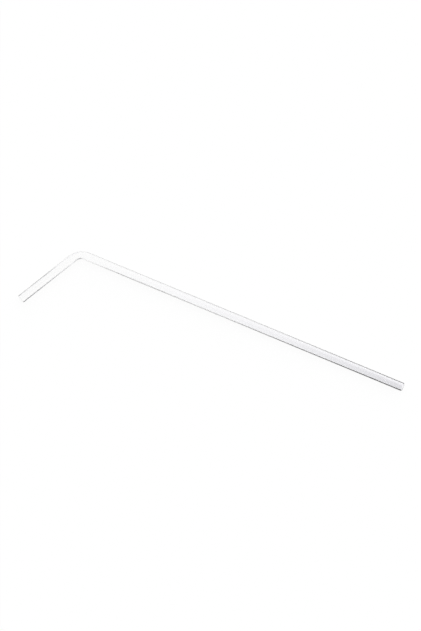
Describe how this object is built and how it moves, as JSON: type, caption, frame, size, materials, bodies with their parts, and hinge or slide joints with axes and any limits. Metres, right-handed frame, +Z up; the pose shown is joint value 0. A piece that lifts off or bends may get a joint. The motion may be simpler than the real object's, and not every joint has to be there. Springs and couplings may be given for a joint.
{
  "type": "bent glass straw",
  "caption": "Clear glass drinking straw: a slim open tube with a long straight arm, a flame-bent elbow, a short mouth arm and rounded fire-polished rims.",
  "frame": {"origin": "middle of the straw's footprint, on the surface that it lies on", "axes": "+X along the long arm towards its free end, +Z up, square to the plane of the bend"},
  "size_m": [0.226, 0.0412, 0.005],
  "materials": {
    "clear_glass": "clear, smooth drawn glass with fire-polished rims"
  },
  "bodies": {
    "root": {"glass_straw": "clear_glass"}
  },
  "joints": []
}
